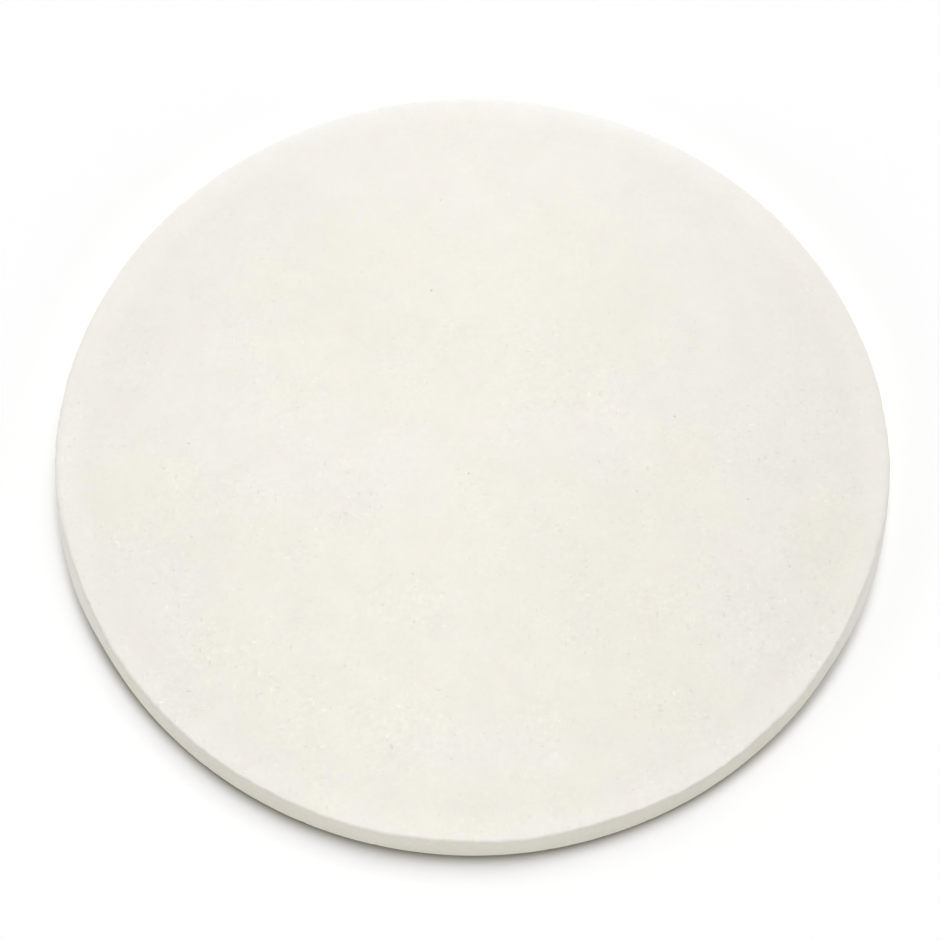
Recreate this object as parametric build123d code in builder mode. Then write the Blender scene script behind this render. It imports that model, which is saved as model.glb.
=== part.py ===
from build123d import *
import os

# A round, flat baking stone: one slab of porous fired clay, plain on both faces.
# The origin is the centre of the underside, and +Z points up through the baking surface.

# Driving dimensions in millimetres
stone_diameter = 330
stone_thickness = 15
top_edge_radius = 3.5
bottom_edge_radius = 3

# The slab is a disc whose two rims are rounded, the upper one a little more.
with BuildPart() as pizza_stone:
    with BuildSketch(Plane.XY):
        Circle(stone_diameter / 2)
    extrude(amount=stone_thickness)
    rims_by_height = pizza_stone.edges().filter_by(GeomType.CIRCLE).sort_by(Axis.Z)
    fillet(rims_by_height[-1], radius=top_edge_radius)
    fillet(rims_by_height[0], radius=bottom_edge_radius)
pizza_stone.part.label = "pizza_stone"

os.makedirs("parts", exist_ok=True)
export_step(pizza_stone.part, "parts/pizza_stone.step")
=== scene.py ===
import math
import random

import bpy
import numpy as np
from mathutils import Matrix, Vector, noise


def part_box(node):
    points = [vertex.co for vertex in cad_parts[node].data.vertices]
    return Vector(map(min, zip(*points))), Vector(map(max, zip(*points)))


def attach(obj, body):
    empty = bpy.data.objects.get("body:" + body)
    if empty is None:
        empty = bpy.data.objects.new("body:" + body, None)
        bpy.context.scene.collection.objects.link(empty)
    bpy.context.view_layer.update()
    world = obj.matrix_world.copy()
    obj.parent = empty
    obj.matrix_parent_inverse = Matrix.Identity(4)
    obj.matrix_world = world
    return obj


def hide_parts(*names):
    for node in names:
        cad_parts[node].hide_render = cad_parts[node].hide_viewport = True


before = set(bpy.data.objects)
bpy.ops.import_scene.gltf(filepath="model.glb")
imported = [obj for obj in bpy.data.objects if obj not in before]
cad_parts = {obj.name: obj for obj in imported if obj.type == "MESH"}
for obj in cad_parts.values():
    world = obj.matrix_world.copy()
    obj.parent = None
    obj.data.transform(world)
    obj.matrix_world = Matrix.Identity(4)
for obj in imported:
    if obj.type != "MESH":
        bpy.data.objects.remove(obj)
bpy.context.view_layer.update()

# Lengths are in metres; this turns a size said in millimetres into one
MM = 0.001
TAU = 2 * math.pi

# The slab's size comes from the frame
slab_low, slab_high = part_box("pizza_stone")
RADIUS = min(slab_high.x, -slab_low.x, slab_high.y, -slab_low.y)
THICKNESS = slab_high.z

# The camera, fitted to the rim in the photograph. The photograph's side and the focal length
# are in pixels, and the sensor's width in millimetres.
PHOTO_SIDE = 940
FOCAL_PIXELS = 2053
SENSOR_WIDTH = 36
CAMERA_DISTANCE = 4.974 * RADIUS
CLIP_START = 0.01
CAMERA_ELEVATION = math.radians(64.4)
CAMERA_ROLL = math.radians(0.87)
CAMERA_AIM = Vector((-0.0056 * RADIUS, -0.0388 * RADIUS, 0))


def make_camera():
    """The photograph's view: from the front, well above, almost level."""
    back = Vector((0, -math.cos(CAMERA_ELEVATION), math.sin(CAMERA_ELEVATION)))
    right = Vector((1, 0, 0))
    up = back.cross(right)
    cos_roll, sin_roll = math.cos(CAMERA_ROLL), math.sin(CAMERA_ROLL)
    right, up = cos_roll * right + sin_roll * up, cos_roll * up - sin_roll * right
    place = Matrix((right, up, back)).transposed().to_4x4()
    place.translation = CAMERA_AIM + CAMERA_DISTANCE * back
    camera = bpy.data.objects.new("camera", bpy.data.cameras.new("camera"))
    camera.matrix_world = place
    camera.data.sensor_width = SENSOR_WIDTH
    camera.data.lens = FOCAL_PIXELS * SENSOR_WIDTH / PHOTO_SIDE
    camera.data.clip_start = CLIP_START
    bpy.context.scene.collection.objects.link(camera)
    bpy.context.scene.camera = camera


make_camera()


# The rim in section: an edge from the face down to the wall, the wall, and a rounded foot.
# In front the edge is a crisp arris over a wall that slopes straight out to the foot,
# at the sides the wall bulges, and at the back the edge is a wide rounding.
RIM_SEGMENTS = 2048
ARRIS_INSET, ARRIS_ROUND = 4.1 * MM, 1.1 * MM
BACK_INSET, BACK_ROUND = 3.5 * MM, 3.4 * MM
FOOT_INSET, FOOT_ROUND = 1.2 * MM, 2.0 * MM
ARRIS_STEPS, WALL_STEPS, FOOT_STEPS = 9, 7, 6
# How far down the wall its bulge is widest, as a share of the wall
BULGE_PEAK = 0.45
# The arris turns crisp, and the bulge grows, from the first to the second of these shares
# of the radius towards the front
ARRIS_FADES = 0.02, 0.45
BULGE_FADES = 0.80, 0.35

# Where the edge wanders: direction from +X towards +Y and half width in degrees,
# then the change of its inset and of its rounding in millimetres
EDGE_WANDER = (
    (90, 12, 0.6, 0.6),
    (4, 12, -0.3, -0.3),
    (-42, 6, 0.1, 0.2),
    (-60, 10, -0.6, -0.2),
    (-84, 7, -0.45, 0.4),
    (-101, 8, -0.5, 0.4),
    (-122, 8, -0.3, -0.2),
    (-140, 8, 0.1, 0.4),
)

# Slow and quick unevenness round the rim: how far, over which length, and the noise's seed
OUTLINE_WAVE = 0.10 * MM, 45 * MM, 3.1
OUTLINE_RIPPLE = 0.05 * MM, 7 * MM, 7.7
ROUNDING_WAVE = 0.24 * MM, 16 * MM, 12.4
ARRIS_WAVE = 0.12 * MM, 16 * MM, 5.2
ARRIS_RIPPLE = 0.30 * MM, 5 * MM, 16.3
FOOT_WAVE = 0.30 * MM, 22 * MM, 21.9
# The same of the skin of the rim and of the flat faces: how deep, and over which length
SKIN_GRAIN = 0.030 * MM, 1.3 * MM
FACE_WAVE = 0.05 * MM, 60 * MM

# The rings of a flat face lie FACE_STEP apart, and near the rim, where the segments are short, only
# GAP_SEGMENTS of their lengths. Segments under HALVING_SHARE of FACE_STEP are halved in number.
FACE_STEP = 2.0 * MM
GAP_SEGMENTS = 1.6
HALVING_SHARE = 0.7
# How much of the outline's unevenness each ring inwards loses
CALMING = 0.2


def circle(count):
    """Angles of the points of one ring."""
    return np.arange(count) * TAU / count


def rim_noise(angles, amount, length, seed):
    """Smooth noise that runs round the rim, plus or minus about the given amount."""
    reach = RADIUS / length
    places = [Vector((math.cos(a) * reach, math.sin(a) * reach, seed)) for a in angles]
    return amount * np.array([noise.noise(p) for p in places])


def wander(angles, column):
    """The listed changes of the edge at each angle, in metres."""
    total = np.zeros(len(angles))
    for row in EDGE_WANDER:
        off = (np.degrees(angles) - row[0] + 180) % 360 - 180
        total += row[column] * MM * np.exp(-((off / row[1]) ** 2))
    return total


def smooth_step(values, low, high):
    """0 at low, 1 at high and an even curve between."""
    share = np.clip((values - low) / (high - low), 0, 1)
    return share**2 * (3 - 2 * share)


def ring(angles, radii, heights, lean):
    """One ring of points and their outward directions.

    A lean is 0 degrees on the upper face, 90 on the wall and 180 on the underside.
    """
    across, along = math.sin(math.radians(lean)), math.cos(math.radians(lean))
    radii = np.broadcast_to(radii, angles.shape)
    heights = np.broadcast_to(heights, angles.shape)
    upward = np.full_like(angles, along)
    points = np.stack([radii * np.cos(angles), radii * np.sin(angles), heights], axis=1)
    outward = np.stack([across * np.cos(angles), across * np.sin(angles), upward], axis=1)
    return points, outward


def arc(angles, inner, top, rounding, leans):
    """Rings along a rounding whose end at the lean 0 has the radius inner and the height top."""
    rings = []
    for lean in leans:
        across, along = math.sin(math.radians(lean)), math.cos(math.radians(lean))
        rings.append(ring(angles, inner + rounding * across, top - rounding * (1 - along), lean))
    return rings


def face_rings(outer_radii, height, lean):
    """Rings from just inside a rim to the middle of a flat face, fewer points to each inwards."""
    rings = []
    radius = float(outer_radii.min())
    sway = outer_radii - radius
    count = RIM_SEGMENTS
    while True:
        segment = TAU * radius / count
        radius -= min(FACE_STEP, GAP_SEGMENTS * segment)
        if radius < FACE_STEP:
            break
        calm = max(0.0, 1 - CALMING * len(rings))
        radii = radius + calm * sway[:: RIM_SEGMENTS // count]
        rings.append(ring(circle(count), radii, height, lean))
        if segment < HALVING_SHARE * FACE_STEP:
            count //= 2
    rings.append(ring(circle(1), 0.0, height, lean))
    return rings


def slab_rings():
    """Every ring in order, from the middle of the upper face to the middle of the underside."""
    angles = circle(RIM_SEGMENTS)
    wave = OUTLINE_WAVE[0] + rim_noise(angles, *OUTLINE_WAVE)
    ripple = OUTLINE_RIPPLE[0] + rim_noise(angles, *OUTLINE_RIPPLE)
    outline = RADIUS - wave - ripple
    front = smooth_step(-np.sin(angles), *ARRIS_FADES)
    rounding = BACK_ROUND + (ARRIS_ROUND - BACK_ROUND) * front + wander(angles, 3)
    rounding += rim_noise(angles, *ROUNDING_WAVE)
    inset = BACK_INSET + (ARRIS_INSET - BACK_INSET) * front + wander(angles, 2)
    inset += rim_noise(angles, *ARRIS_WAVE) + rim_noise(angles, *ARRIS_RIPPLE)
    inset = np.maximum(inset, rounding)
    face_edge = outline - inset
    foot = FOOT_ROUND + rim_noise(angles, *FOOT_WAVE)
    wall_head, wall_foot = face_edge + rounding, outline - FOOT_INSET
    bulge = outline - wall_head * (1 - BULGE_PEAK) - wall_foot * BULGE_PEAK
    bulge *= smooth_step(-np.sin(angles), *BULGE_FADES)
    upper = face_rings(face_edge, THICKNESS, 0)[::-1]
    edge = arc(angles, face_edge, THICKNESS, rounding, np.linspace(0, 90, ARRIS_STEPS))
    wall = []
    for share in np.linspace(0, 1, WALL_STEPS + 1)[1:-1]:
        if share < BULGE_PEAK:
            swell = 1 - (1 - share / BULGE_PEAK) ** 2
        else:
            swell = (1 - share) / (1 - BULGE_PEAK)
        radii = wall_head * (1 - share) + wall_foot * share + bulge * swell
        heights = (THICKNESS - rounding) * (1 - share) + foot * share
        wall.append(ring(angles, radii, heights, 90))
    foots = arc(angles, wall_foot - foot, 2 * foot, foot, np.linspace(90, 180, FOOT_STEPS))
    under = face_rings(wall_foot - foot, 0.0, 180)
    return upper + edge + wall + foots + under


# Nicks along the two rims and dents in the wall: how many, the range of their leans in degrees,
# the smallest and the largest reach, and the smallest and the largest depth
NICKS = (
    (150, 10, 60, 0.4 * MM, 1.3 * MM, 0.04 * MM, 0.18 * MM),
    (90, 66, 90, 0.6 * MM, 1.6 * MM, 0.04 * MM, 0.12 * MM),
    (60, 100, 160, 0.5 * MM, 1.4 * MM, 0.05 * MM, 0.20 * MM),
)
WEAR_SEED = 11


def wear(points, outward, leans):
    """Presses the nicks, the dents and a fine grain into the rim, always inwards."""
    rng = random.Random(WEAR_SEED)
    pushed = np.zeros(len(points))
    for count, lean_low, lean_high, reach_low, reach_high, depth_low, depth_high in NICKS:
        fit = np.flatnonzero((leans >= lean_low) & (leans <= lean_high))
        for _ in range(count):
            middle = points[fit[rng.randrange(len(fit))]]
            reach = rng.uniform(reach_low, reach_high)
            depth = rng.uniform(depth_low, depth_high) * reach / reach_high
            near = np.linalg.norm(points - middle, axis=1) / reach
            pushed = np.maximum(pushed, depth * np.clip(1 - near**2, 0, 1) ** 2)
    grain = np.array([noise.noise(Vector(p) / SKIN_GRAIN[1]) for p in points])
    pushed += SKIN_GRAIN[0] * (1 + grain) / 2
    return points - outward * pushed[:, None]


def face_sink(points):
    """How far a flat face lies below its even plane at each point."""
    wave = np.array([noise.noise(Vector(p) / FACE_WAVE[1]) for p in points])
    return FACE_WAVE[0] * (1 + wave) / 2 + SKIN_GRAIN[0] / 2


def strip(faces, first, second):
    """Joins two rings: equal in count, or one with twice as many points, or one a single point."""
    if len(first) == 1:
        faces += [(first[0], second[i - 1], second[i]) for i in range(len(second))]
    elif len(second) == 1:
        faces += [(first[i], first[i - 1], second[0]) for i in range(len(first))]
    elif len(first) == len(second):
        faces += [(first[i - 1], second[i - 1], second[i], first[i]) for i in range(len(first))]
    elif len(second) == 2 * len(first):
        for i in range(len(first)):
            a, b = first[i - 1], first[i]
            c, d, e = second[2 * i - 2], second[2 * i - 1], second[2 * i]
            faces += [(a, c, d), (a, d, b), (b, d, e)]
    else:
        for i in range(len(second)):
            a, b = second[i - 1], second[i]
            c, d, e = first[2 * i - 2], first[2 * i - 1], first[2 * i]
            faces += [(a, d, c), (a, b, d), (b, e, d)]


# Open pores in the upper face that show in the photograph: place, reach and depth in millimetres
SEEN_PITS = (
    (-17.8, 67.5, 0.60, 0.48),
    (-111.9, -3.9, 0.68, 0.36),
    (79.9, 11.3, 0.58, 0.42),
    (-1.5, -15.1, 0.56, 0.40),
    (107.3, -24.5, 0.54, 0.40),
    (122.1, -52.6, 0.52, 0.38),
    (64.5, -21.8, 0.49, 0.36),
    (-107.8, -44.2, 0.47, 0.34),
    (-113.7, -58.1, 0.47, 0.34),
    (-15.0, 111.1, 0.45, 0.32),
    (-22.3, -58.2, 0.45, 0.32),
    (82.5, -103.3, 0.43, 0.30),
    (-67.8, -109.7, 0.40, 0.26),
    (-8.0, -107.1, 0.40, 0.26),
)

# Smaller pores strewn over the upper face and the underside, no nearer to the rim than PIT_MARGIN.
# PIT_REACH and PIT_DEPTH hold the least one, and what is added for the largest.
SMALL_PITS = 40
UNDER_PITS = 90
PIT_MARGIN = 8 * MM
PIT_REACH = 0.26 * MM, 0.14 * MM
PIT_DEPTH = 0.10 * MM, 0.14 * MM

# Pores are opened only in cells of the flat faces: more than RIM_WIDTH inside the outline, and with
# every corner less than FACE_SLACK from the face's plane
RIM_WIDTH = 5 * MM
FACE_SLACK = 0.2 * MM
# A seen pore pulls its cell towards it by up to this much along each axis
CELL_PULL = 0.9 * MM
# The radius of a pore's outer ring is GUARD times its reach, or what fits into its cell with
# CELL_EDGE to spare
GUARD = 1.3
CELL_EDGE = 0.1 * MM
# The rings of a pore, from the outer one to its floor: share of the outer ring's radius, then share
# of the depth. All but the outer one are uneven by up to the share RAGGEDNESS.
PIT_RINGS = (1.0, 0.0), (0.72, 0.12), (0.42, 0.8)
RAGGEDNESS = 0.15
PIT_SEED = 5


def pit_places():
    """Every pore as (x, y, reach, depth, side), the side being 1 above and -1 below."""
    rng = random.Random(PIT_SEED)
    places = [(x * MM, y * MM, reach * MM, depth * MM, 1) for x, y, reach, depth in SEEN_PITS]
    for number in range(SMALL_PITS + UNDER_PITS):
        out = (RADIUS - PIT_MARGIN) * math.sqrt(rng.random())
        turn = rng.uniform(0, TAU)
        size = rng.random() ** 2
        reach = PIT_REACH[0] + PIT_REACH[1] * size
        depth = PIT_DEPTH[0] + PIT_DEPTH[1] * size
        side = 1 if number < SMALL_PITS else -1
        places.append((out * math.cos(turn), out * math.sin(turn), reach, depth, side))
    return places, rng


def turns_around(quad, middle):
    """Directions from the middle of a cell to its corners, each followed by the one halfway on."""
    turns = [math.atan2(c[1] - middle[1], c[0] - middle[0]) for c in quad]
    around = []
    for k in range(4):
        turn = (turns[(k + 1) % 4] - turns[k] + math.pi) % TAU - math.pi
        around += [turns[k], turns[k] + turn / 2]
    return around


def pit_faces(corner, base, count):
    """The faces of one pore, from its cell's corners over its three rings to its lowest point."""
    outer, lip, floor = (range(base + count * k, base + count * (k + 1)) for k in range(3))
    faces = []
    for k in range(4):
        a, b = corner[k], corner[(k + 1) % 4]
        c, d, e = outer[2 * k], outer[2 * k + 1], outer[(2 * k + 2) % count]
        faces += [(a, d, c), (a, b, d), (b, e, d)]
    for first, second in ((outer, lip), (lip, floor)):
        faces += [(first[k - 1], first[k], second[k], second[k - 1]) for k in range(count)]
    lowest = base + 3 * count
    return faces + [(floor[k - 1], floor[k], lowest) for k in range(count)]


def open_pits(points, faces):
    """Opens each pore inside the nearest four-sided cell of its face."""
    cells = [number for number, face in enumerate(faces) if len(face) == 4]
    corners = points[np.array([faces[number] for number in cells])]
    flat = {}
    for side, height in ((1, THICKNESS), (-1, 0.0)):
        level = np.abs(corners[:, :, 2] - height).max(axis=1) < FACE_SLACK
        inside = np.hypot(corners[:, :, 0], corners[:, :, 1]).max(axis=1) < RADIUS - RIM_WIDTH
        flat[side] = np.flatnonzero(level & inside)
    middles = corners.mean(axis=1)
    added, opened, gone = [], [], set()
    places, rng = pit_places()
    for number, (x, y, reach, depth, side) in enumerate(places):
        pick = flat[side]
        near = np.hypot(middles[pick, 0] - x, middles[pick, 1] - y)
        cell = pick[int(near.argmin())]
        if cell in gone:
            continue
        gone.add(cell)
        corner = list(faces[cells[cell]])
        if number < len(SEEN_PITS):
            off = (x - middles[cell, 0], y - middles[cell, 1])
            points[corner, :2] += np.clip(off, -CELL_PULL, CELL_PULL)
        quad = points[corner]
        sides = np.linalg.norm(quad[0] - quad[1]), np.linalg.norm(quad[1] - quad[2])
        room = 0.5 * min(sides) - CELL_EDGE
        guard = min(GUARD * reach, room)
        slack = room - guard
        middle = quad.mean(axis=0)
        middle[:2] += np.clip((x - middle[0], y - middle[1]), -slack, slack)
        around = turns_around(quad, middle)
        opened += pit_faces(corner, len(points) + len(added), len(around))
        for share, drop in PIT_RINGS:
            for turn in around:
                out = guard * share
                if share < 1.0:
                    out *= rng.uniform(1 - RAGGEDNESS, 1 + RAGGEDNESS)
                sunk = -side * depth * drop
                added.append(middle + np.array((out * math.cos(turn), out * math.sin(turn), sunk)))
        added.append(middle + np.array((0, 0, -side * depth)))
    dropped = {cells[cell] for cell in gone}
    kept = [face for number, face in enumerate(faces) if number not in dropped]
    return np.concatenate([points, np.array(added)]), kept + opened


# A point that leans less than this many degrees lies on a flat face
LEVEL_LEAN = 0.1


def make_slab():
    """The stone as one closed mesh."""
    rings = slab_rings()
    points = np.concatenate([p for p, _ in rings])
    outward = np.concatenate([o for _, o in rings])
    leans = np.degrees(np.arccos(np.clip(outward[:, 2], -1, 1)))
    rim = (leans > LEVEL_LEAN) & (leans < 180 - LEVEL_LEAN)
    points[rim] = wear(points[rim], outward[rim], leans[rim])
    points[~rim] -= outward[~rim] * face_sink(points[~rim])[:, None]
    starts = np.cumsum([0] + [len(p) for p, _ in rings])
    numbered = [list(range(starts[i], starts[i + 1])) for i in range(len(rings))]
    faces = []
    for first, second in zip(numbered, numbered[1:]):
        strip(faces, first, second)
    points, faces = open_pits(points, faces)
    mesh = bpy.data.meshes.new("baking_slab")
    mesh.from_pydata(points.tolist(), [], faces)
    mesh.polygons.foreach_set("use_smooth", [True] * len(mesh.polygons))
    mesh.validate()
    slab = bpy.data.objects.new("baking_slab", mesh)
    bpy.context.scene.collection.objects.link(slab)
    return slab


def linear(red, green, blue):
    """A colour as a node takes it, from its everyday 0 to 255 values, by the sRGB curve."""

    def lighten(value):
        value /= 255
        return value / 12.92 if value <= 0.04045 else ((value + 0.055) / 1.055) ** 2.4

    return (lighten(red), lighten(green), lighten(blue), 1)


# How far the two noises move the border of an oval zone, as shares of the oval: a fixed one, and
# one times BORDER over the oval's smaller half width, both in millimetres, so that the borders
# of small ovals move more. The softness of the border is such a share too.
BORDER = 10
DRIFT_MOVES = 0.4, 1.0
RAGGED_MOVES = 0.9, 4.0
BORDER_SOFTNESS = 0.3

# Specks: the least size and what is added for the largest, as shares of their reach, the share of a
# speck that has its full strength, and the greatest strength
SPECK_SIZE, SPECK_GROWTH = 0.7, 0.5
SPECK_CORE = 0.3
SPECK_LIMIT = 1.9


class Nodes:
    """A few short words for building the nodes of a material or of the world."""

    def __init__(self, owner):
        owner.use_nodes = True
        self.tree = owner.node_tree
        self.tree.nodes.clear()

    def add(self, kind, **values):
        """Adds a node.

        A value whose name starts with in_ goes to that socket, and any other is a property.
        """
        made = self.tree.nodes.new("ShaderNode" + kind)
        for name, value in values.items():
            if not name.startswith("in_"):
                setattr(made, name, value)
        for name, value in values.items():
            if name.startswith("in_"):
                self.feed(made.inputs[self.key(name[3:])], value)
        return made

    @staticmethod
    def key(name):
        """A socket's number, or its name with spaces."""
        return int(name) if name.isdigit() else name.replace("_", " ")

    def feed(self, socket, value):
        """Links a socket to another, or sets it to a plain value."""
        if isinstance(value, bpy.types.NodeSocket):
            self.tree.links.new(value, socket)
        else:
            socket.default_value = value

    def math(self, operation, *values, clamp=False):
        """One sum of single numbers, by the name of the operation."""
        made = self.add("Math", operation=operation, use_clamp=clamp)
        for socket, value in zip(made.inputs, values):
            self.feed(socket, value)
        return made.outputs[0]

    def between(self, value, low, high):
        """A smooth step of value, from 0 at low to 1 at high."""
        made = self.add("MapRange", interpolation_type="SMOOTHSTEP")
        for name, number in zip(("Value", "From Min", "From Max"), (value, low, high)):
            self.feed(made.inputs[name], number)
        return made.outputs[0]

    def parts(self, where):
        """A place's x, y and z, and how far it lies from the slab's axis."""
        x, y, z = self.add("SeparateXYZ", in_0=where).outputs
        squares = self.math("ADD", self.math("MULTIPLY", x, x), self.math("MULTIPLY", y, y))
        return x, y, z, self.math("SQRT", squares)

    def noise(self, where, length, detail, roughness, distortion, seed):
        """Noise around 0, about -0.5 to 0.5, with features of the given length in metres."""
        made = self.add(
            "TexNoise", noise_dimensions="4D", in_Vector=where, in_W=seed, in_Scale=1 / length,
            in_Detail=detail, in_Roughness=roughness, in_Distortion=distortion,
        )
        return self.math("SUBTRACT", made.outputs[0], 0.5)

    def moved(self, where, offset):
        """A place moved by a fixed offset."""
        return self.add("VectorMath", operation="ADD", in_0=where, in_1=offset).outputs[0]

    def stretched(self, where, shares):
        """A place with its coordinates multiplied: a texture gets longer where a share is small."""
        return self.add("VectorMath", operation="MULTIPLY", in_0=where, in_1=shares).outputs[0]

    def bent(self, where, length, amount):
        """A place moved to and fro by noise of the given length, by up to about half the amount."""
        drift = self.add("TexNoise", in_Vector=where, in_Scale=1 / length, in_Detail=1.0)
        amounts = Vector((amount, amount, amount))
        made = self.add("VectorMath", operation="MULTIPLY_ADD", in_0=drift.outputs["Color"],
                        in_1=amounts, in_2=where)
        return made.outputs[0]

    def spread(self, where, middle_x, middle_y, reach_x, reach_y):
        """How far a place lies from the middle of an oval, as a share of the oval's half widths."""
        shares = Vector((1 / reach_x, 1 / reach_y, 0)) / MM
        start = Vector((-middle_x / reach_x, -middle_y / reach_y, 0))
        off = self.add("VectorMath", operation="MULTIPLY_ADD", in_0=where, in_1=shares, in_2=start)
        return self.add("VectorMath", operation="LENGTH", in_0=off.outputs[0]).outputs["Value"]

    def zones(self, where, rows, drift, ragged):
        """1 inside any of the ovals in rows and 0 outside, with the borders moved by two noises."""
        inside = 0.0
        for row in rows:
            border = BORDER / min(row[2:])
            soft = BORDER_SOFTNESS * border
            by_drift = DRIFT_MOVES[0] + DRIFT_MOVES[1] * border
            by_ragged = RAGGED_MOVES[0] + RAGGED_MOVES[1] * border
            out = self.math("MULTIPLY_ADD", drift, by_drift, self.spread(where, *row))
            out = self.math("MULTIPLY_ADD", ragged, by_ragged, out)
            inside = self.math("MAXIMUM", inside, self.between(out, 1 + soft, 1 - soft))
        return inside

    def specks(self, where, cell, reach):
        """Strewn specks: 0 between them, and a strength that few of them have much of."""
        made = self.add("TexVoronoi", in_Vector=where, in_Scale=1 / cell)
        chance = self.add("SeparateXYZ", in_0=made.outputs["Color"]).outputs
        reach /= cell
        size = self.math("MULTIPLY_ADD", chance[1], SPECK_GROWTH * reach, SPECK_SIZE * reach)
        edge = self.math("DIVIDE", made.outputs["Distance"], size)
        shape = self.between(edge, 1.0, SPECK_CORE)
        strength = self.math("MULTIPLY", self.math("LOGARITHM", chance[0], math.e), -1.0)
        return self.math("MULTIPLY", shape, self.math("MINIMUM", strength, SPECK_LIMIT))

    def mix(self, factor, first, second):
        """The first colour where the factor is 0, the second where it is 1."""
        made = self.add("Mix", data_type="RGBA")
        self.feed(made.inputs[0], factor)
        self.feed(made.inputs[6], first)
        self.feed(made.inputs[7], second)
        return made.outputs[2]

    def scaled(self, colour, amount):
        """A colour made lighter or darker by a single number."""
        value = self.add("CombineXYZ", in_0=amount, in_1=amount, in_2=amount).outputs[0]
        return self.add("VectorMath", operation="MULTIPLY", in_0=colour, in_1=value).outputs[0]


# The clay's colours: three kinds on the upper face, and the wall in front and at its sides; then a
# painted highlight for the far rim, and painted shade for the inside of a pore
CREAM = linear(242, 238.9, 228.7)
MILK = linear(242.4, 239.3, 231.3)
ROSE = linear(242, 238.2, 231.9)
WALL_CLAY = linear(241.8, 237.6, 225.4)
SIDE_CLAY = linear(239.6, 238.2, 230.2)
FAR_RIM_HIGHLIGHT = linear(243.4, 242, 237.6)
PAINTED_PIT_SHADE = linear(224, 216, 201)

# Where the clay is creamy, and where it is milky instead: middles and half widths in millimetres.
# All the rest of the upper face is a little rosy.
CREAMY = (
    (-2, 58, 86, 66),
    (-4, -67, 102, 92),
    (62, -26, 40, 38),
    (-72, -42, 36, 30),
    (-124, -27, 24, 22),
    (136, -44, 13, 25),
)
MILKY = ((-54, -13, 46, 26), (35, 2, 34, 15), (12, -128, 42, 6), (2, 130, 30, 32))

# The radii between which the rim begins, and the heights between which its wall does
RIM_STARTS = RADIUS - 6 * MM, RADIUS - 5 * MM
WALL_STARTS = THICKNESS - 0.4 * MM, THICKNESS - 1.0 * MM
# How far out to the left and right the wall goes over to its other colour
SIDE_STARTS = 0.72 * RADIUS, 0.97 * RADIUS
# The painted highlight along the far rim: how far out, and how far to the back
FAR_RIM_OUT = 0.94 * RADIUS, 0.985 * RADIUS
FAR_RIM_BACK = 0.55 * RADIUS, 0.92 * RADIUS
# Where the painted shade inside a pore begins: how far below the upper face, or above the underside
PIT_STARTS = 0.10 * MM, 0.40 * MM

# The tone that the colour is multiplied by in the middle, and how it changes across the upper face,
# as shares for a whole radius: steadily to the right and to the back, and growing towards
# both sides, and towards front and back. These changes are painted light: the face is painted
# brighter towards the back and darker towards the right and both sides.
TONE = 0.998
TONE_TO_RIGHT, TONE_TO_BACK = -0.024, 0.021
TONE_AT_SIDES, TONE_AT_ENDS = -0.068, -0.009

# A paler band along the rim: where it grows, and by how much
BAND_STARTS = 0.90 * RADIUS, 0.96 * RADIUS
BAND_TONE = 0.030

# More painted light, as changes of tone along the diagonals: the signs of x and y that way, the
# shares of the radius between which the change grows, and the change
DIAGONALS = (
    (-1, 1, 0.55, 0.85, -0.015),
    (1, 1, 0.30, 0.75, 0.006),
    (-1, -1, 0.80, 0.96, -0.018),
)

# Where the face is a little dimmer: middle and half widths in millimetres, then by how much
DIMMED = ((-60, 64, 80, 72, 0.016), (38, -58, 70, 55, 0.010))

# The clay's noises: length of a feature, detail, roughness, distortion and seed.
# The first two move the zones' borders.
DRIFT_NOISE = 60 * MM, 2, 0.6, 0.0, 2.0
RAGGED_NOISE = 13 * MM, 4, 0.85, 0.0, 3.0
SLOW_NOISE = 80 * MM, 2, 0.6, 0.3, 5.0
MOTTLE_NOISE = 18 * MM, 3, 0.8, 0.0, 9.0
CROWD_NOISE = 24 * MM, 2, 0.5, 0.0, 7.0
FINE_NOISE = 1.9 * MM, 1, 0.7, 0.0, 21.0
WARM_NOISE = 16 * MM, 3, 0.8, 0.0, 13.0
GREEN_NOISE = 16 * MM, 3, 0.8, 0.0, 17.0
BUMP_NOISE = 0.9 * MM, 2, 0.6, 0.0, 1.0

# How much the noises of the same names change the tone, or the tint
SLOW_TONE, MOTTLE_TONE, FINE_TONE = 0.045, 0.10, 0.06
WARM_TINT, GREEN_TINT = 0.035, 0.04

# Flecks: the length and the amount of the noise that bends their outlines, the cell that holds
# one, its reach, how it is drawn out, and by how much dark and pale ones change the tone.
# The pale ones lie aside from the dark ones.
FLECK_BEND = 1.4 * MM, 1.3 * MM
FLECK_CELL, FLECK_REACH = 2.3 * MM, 0.56 * MM
FLECK_LEVEL, FLECK_UPRIGHT = Vector((0.42, 1, 1)), Vector((1, 0.42, 1))
FLECK_ASIDE = Vector((0.31, 0.17, 0.23))
DARK_TONE, PALE_TONE = -0.031, 0.025

# Where the flecks crowd: the values of the noise between which a crowd begins, and their strength
# outside one. NEAR_STARTS says where they get plainer from the back to the front, NEAR_LEAST how
# plain they are at the back, and NEAR_ADDED what the front has more.
CROWD_STARTS = -0.12, 0.15
CROWD_LEAST = 0.5
NEAR_STARTS = RADIUS, -0.6 * RADIUS
NEAR_LEAST, NEAR_ADDED = 0.4, 0.95

# The clay's finish
ROUGHNESS = 0.9
SPECULAR = 0.2
BUMP_STRENGTH, BUMP_DEPTH = 0.5, 0.02 * MM


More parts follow.
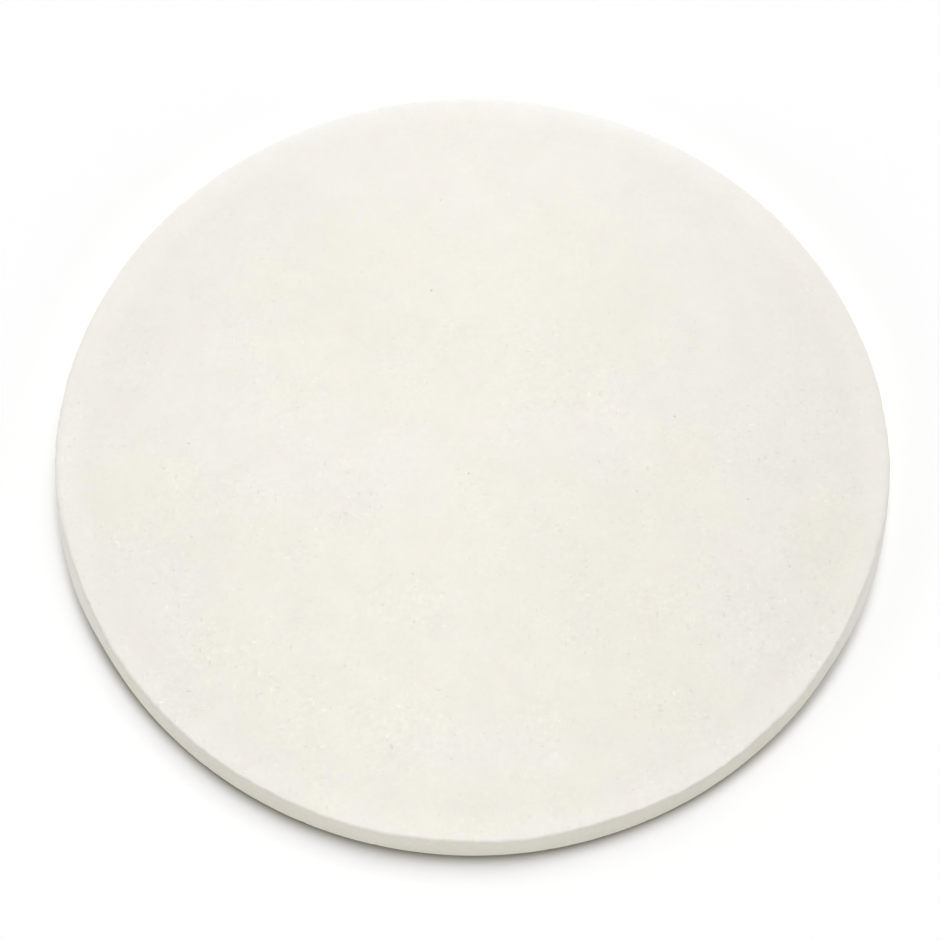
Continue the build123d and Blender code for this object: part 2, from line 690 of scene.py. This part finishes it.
def clay_colour(n, where):
    """The clay's colour before tone and flecks: zones on the face, the wall's colours, and a painted
    highlight along the far rim.
    """
    x, y, z, radius = n.parts(where)
    drift = n.noise(where, *DRIFT_NOISE)
    ragged = n.noise(where, *RAGGED_NOISE)
    creamy = n.zones(where, CREAMY, drift, ragged)
    milky = n.zones(where, MILKY, drift, ragged)
    colour = n.mix(milky, n.mix(creamy, ROSE, CREAM), MILK)
    on_wall = n.math("MULTIPLY", n.between(radius, *RIM_STARTS), n.between(z, *WALL_STARTS))
    side = n.between(n.math("ABSOLUTE", x), *SIDE_STARTS)
    colour = n.mix(on_wall, colour, n.mix(side, WALL_CLAY, SIDE_CLAY))
    # A painted highlight along the far rim, where its rounding catches the light from behind
    far_rim_highlight = n.math("MULTIPLY", n.between(radius, *FAR_RIM_OUT), n.between(y, *FAR_RIM_BACK))
    return n.mix(far_rim_highlight, colour, FAR_RIM_HIGHLIGHT)


def tone_with_painted_light(n, where):
    """The slow changes of tone across the face, partly painted light, and the soft mottling."""
    x, y, _, radius = n.parts(where)
    # Painted light: brighter towards the back, darker towards the right and both sides
    tone = n.math("MULTIPLY_ADD", x, TONE_TO_RIGHT / RADIUS, TONE)
    tone = n.math("MULTIPLY_ADD", y, TONE_TO_BACK / RADIUS, tone)
    tone = n.math("MULTIPLY_ADD", n.math("MULTIPLY", x, x), TONE_AT_SIDES / RADIUS**2, tone)
    tone = n.math("MULTIPLY_ADD", n.math("MULTIPLY", y, y), TONE_AT_ENDS / RADIUS**2, tone)
    tone = n.math("MULTIPLY_ADD", n.between(radius, *BAND_STARTS), BAND_TONE, tone)
    for sign_x, sign_y, low, high, change in DIAGONALS:
        out = n.math("ADD", n.math("MULTIPLY", x, sign_x), n.math("MULTIPLY", y, sign_y))
        out = n.math("MULTIPLY", out, math.sqrt(0.5) / RADIUS)
        tone = n.math("MULTIPLY_ADD", n.between(out, low, high), change, tone)
    for *oval, depth in DIMMED:
        dim = n.between(n.spread(where, *oval), 1.0, 0.0)
        tone = n.math("MULTIPLY_ADD", dim, -depth, tone)
    tone = n.math("MULTIPLY_ADD", n.noise(where, *SLOW_NOISE), SLOW_TONE, tone)
    return n.math("MULTIPLY_ADD", n.noise(where, *MOTTLE_NOISE), MOTTLE_TONE, tone)


def clay_flecks(n, where):
    """Dark and pale flecks with bent outlines, some level and some upright, in loose crowds."""
    bent = n.bent(where, *FLECK_BEND)
    strokes = n.stretched(bent, FLECK_LEVEL), n.stretched(bent, FLECK_UPRIGHT)
    dark = n.math("MAXIMUM", *(n.specks(s, FLECK_CELL, FLECK_REACH) for s in strokes))
    strokes = [n.moved(s, FLECK_ASIDE) for s in strokes]
    pale = n.math("MAXIMUM", *(n.specks(s, FLECK_CELL, FLECK_REACH) for s in strokes))
    flecks = n.math("MULTIPLY_ADD", pale, PALE_TONE, n.math("MULTIPLY", dark, DARK_TONE))
    flecks = n.math("MULTIPLY_ADD", n.noise(where, *FINE_NOISE), FINE_TONE, flecks)
    crowd = n.math("ADD", n.between(n.noise(where, *CROWD_NOISE), *CROWD_STARTS), CROWD_LEAST)
    y = n.parts(where)[1]
    nearer = n.math("MULTIPLY_ADD", n.between(y, *NEAR_STARTS), NEAR_ADDED, NEAR_LEAST)
    return n.math("MULTIPLY", flecks, n.math("MULTIPLY", crowd, nearer))


def inside_pit(n, where):
    """1 inside the pores, where their shade is painted, which is where a place lies between the two
    faces, away from the rim.
    """
    _, _, z, radius = n.parts(where)
    below_top = n.between(z, THICKNESS - PIT_STARTS[0], THICKNESS - PIT_STARTS[1])
    above_base = n.between(z, *PIT_STARTS)
    inwards = n.between(radius, RIM_STARTS[1], RIM_STARTS[0])
    return n.math("MULTIPLY", n.math("MULTIPLY", below_top, above_base), inwards)


def stone_material():
    """Fired clay: creamy in the middle, rosier towards the rim, with flecks, grain and pores; with
    painted shade in the pores, a painted highlight on the far rim and a painted fall of light across
    the face.
    """
    material = bpy.data.materials.new("stone_body")
    n = Nodes(material)
    where = n.add("TexCoord").outputs["Object"]
    tone = n.math("ADD", clay_flecks(n, where), tone_with_painted_light(n, where))
    warm = n.math("MULTIPLY", n.noise(where, *WARM_NOISE), WARM_TINT)
    green = n.math("MULTIPLY", n.noise(where, *GREEN_NOISE), GREEN_TINT)
    shift = n.add("CombineXYZ", in_0=n.math("ADD", tone, warm), in_1=n.math("ADD", tone, green),
                  in_2=n.math("SUBTRACT", tone, warm)).outputs[0]
    colour = n.add("VectorMath", operation="MULTIPLY", in_0=clay_colour(n, where), in_1=shift)
    # Painted shade inside the pores, deeper down than the face
    colour = n.mix(inside_pit(n, where), colour.outputs[0], PAINTED_PIT_SHADE)
    shader = n.add("BsdfPrincipled", in_Base_Color=colour, in_Roughness=ROUGHNESS)
    shader.inputs["Specular IOR Level"].default_value = SPECULAR
    grain = n.noise(where, *BUMP_NOISE)
    bump = n.add("Bump", in_Strength=BUMP_STRENGTH, in_Distance=BUMP_DEPTH, in_Height=grain)
    n.feed(shader.inputs["Normal"], bump.outputs[0])
    n.add("OutputMaterial", in_Surface=shader.outputs[0])
    return material


slab = make_slab()
slab.data.materials.append(stone_material())
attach(slab, "root")
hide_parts("pizza_stone")


# The ground is white to the eye, and a little darker to the light that it throws back
GROUND_SIDE = 12.0
GROUND_WHITE = 0.99
GROUND_BOUNCE = 0.9

# Painted contact shadow: the ground's colour is darkened in a band along the slab's foot, most of
# all in front and a little to the left, where the shadow falls. The band has its full depths, of
# red, green and blue, up to CONTACT_NEAR outside the foot's circle, and ends at CONTACT_FAR. The
# circle lies
# CONTACT_TUCK inside the wall's foot, because the foot is rounded.
SHADOW_WAY = math.radians(-98)
CONTACT_NEAR, CONTACT_FAR = 0.3 * MM, 5.0 * MM
CONTACT_SHADOW_DEPTHS = Vector((0.55, 0.57, 0.62))
CONTACT_TUCK = 0.8 * MM
# Where the band begins and where it is full, as shares of the radius in the shadow's way
CONTACT_STARTS = 0.0, 0.9
# The band reaches out further at the sides, from the share SIDES_FROM backwards, by SIDES_REACH
# for a whole radius, and a little further in the middle of the front
SIDES_FROM, SIDES_REACH = 0.85, 4 * MM
MIDDLE_STARTS, MIDDLE_REACH = (0.80, 0.95), 0.45 * MM


def make_ground():
    """A plain pale floor that keeps the object's shadow, with a contact shadow painted into its
    colour along the slab's foot.
    """
    half = GROUND_SIDE / 2
    corners = [(-half, -half, 0), (half, -half, 0), (half, half, 0), (-half, half, 0)]
    mesh = bpy.data.meshes.new("ground")
    mesh.from_pydata(corners, [], [(0, 1, 2, 3)])
    ground = bpy.data.objects.new("ground", mesh)
    bpy.context.scene.collection.objects.link(ground)
    material = bpy.data.materials.new("ground")
    n = Nodes(material)
    where = n.add("TexCoord").outputs["Object"]
    radius = n.add("VectorMath", operation="LENGTH", in_0=where).outputs["Value"]
    way = (math.cos(SHADOW_WAY) / RADIUS, math.sin(SHADOW_WAY) / RADIUS, 0)
    front = n.add("VectorMath", operation="DOT_PRODUCT", in_0=where, in_1=way).outputs["Value"]
    foot = RADIUS - FOOT_INSET - CONTACT_TUCK
    sideways = n.math("MAXIMUM", n.math("SUBTRACT", SIDES_FROM, front), 0.0)
    wider = n.math("MULTIPLY", sideways, SIDES_REACH)
    wider = n.math("MULTIPLY_ADD", n.between(front, *MIDDLE_STARTS), MIDDLE_REACH, wider)
    left = n.math("SUBTRACT", foot + CONTACT_FAR, n.math("SUBTRACT", radius, wider))
    near = n.math("DIVIDE", left, CONTACT_FAR - CONTACT_NEAR, clamp=True)
    # The painted contact shadow: how much of its depths each place of the floor gets
    painted_shadow = n.math("MULTIPLY", n.math("MULTIPLY", near, near), n.between(front, *CONTACT_STARTS))
    white = Vector((1, 1, 1)) * GROUND_WHITE
    shadow_depths = n.scaled(-CONTACT_SHADOW_DEPTHS * GROUND_WHITE, painted_shadow)
    seen = n.add("VectorMath", operation="ADD", in_0=shadow_depths, in_1=white).outputs[0]
    eye = n.add("LightPath").outputs["Is Camera Ray"]
    shade = n.mix(eye, (GROUND_BOUNCE, GROUND_BOUNCE, GROUND_BOUNCE, 1), seen)
    diffuse = n.add("BsdfDiffuse", in_Color=shade)
    n.add("OutputMaterial", in_Surface=diffuse.outputs[0])
    mesh.materials.append(material)
    return ground


make_ground()


# Light: an even dome, wide lamps behind and above, and two low ones in front that lift the wall.
# Each lamp: direction from +X towards +Y and height in degrees, then its strength facing it.
DOME_STRENGTH = 0.332
LAMP_WIDTH = math.radians(30)
LAMPS = (
    ("overhead", 90, 75, 0.306),
    ("back", 90, 55, 0.150),
    ("back_right", 45, 55, 0.170),
    ("back_left", 135, 35, 0.075),
    ("front_right", 323, 15, 0.131),
    ("front_left", 211, 15, 0.161),
)


def make_light():
    """The dome, which looks plain white, and the lamps."""
    world = bpy.data.worlds.new("studio")
    bpy.context.scene.world = world
    n = Nodes(world)
    path = n.add("LightPath").outputs
    seen = n.math("MAXIMUM", path["Is Camera Ray"], path["Is Glossy Ray"])
    seen = n.math("MAXIMUM", seen, path["Is Transmission Ray"])
    glow = n.math("MULTIPLY_ADD", seen, 1 - DOME_STRENGTH, DOME_STRENGTH)
    sky = n.add("Background", in_Color=(1, 1, 1, 1), in_Strength=glow)
    n.add("OutputWorld", in_Surface=sky.outputs[0])
    for name, turn, height, strength in LAMPS:
        turn, height = math.radians(turn), math.radians(height)
        lamp = bpy.data.lights.new(name, "SUN")
        lamp.energy = math.pi * strength
        lamp.angle = LAMP_WIDTH
        held = bpy.data.objects.new(name, lamp)
        level = math.cos(height)
        towards = Vector((level * math.cos(turn), level * math.sin(turn), math.sin(height)))
        held.rotation_mode = "QUATERNION"
        held.rotation_quaternion = towards.to_track_quat("Z", "Y")
        bpy.context.scene.collection.objects.link(held)


make_light()

bpy.context.scene.view_settings.view_transform = "Standard"
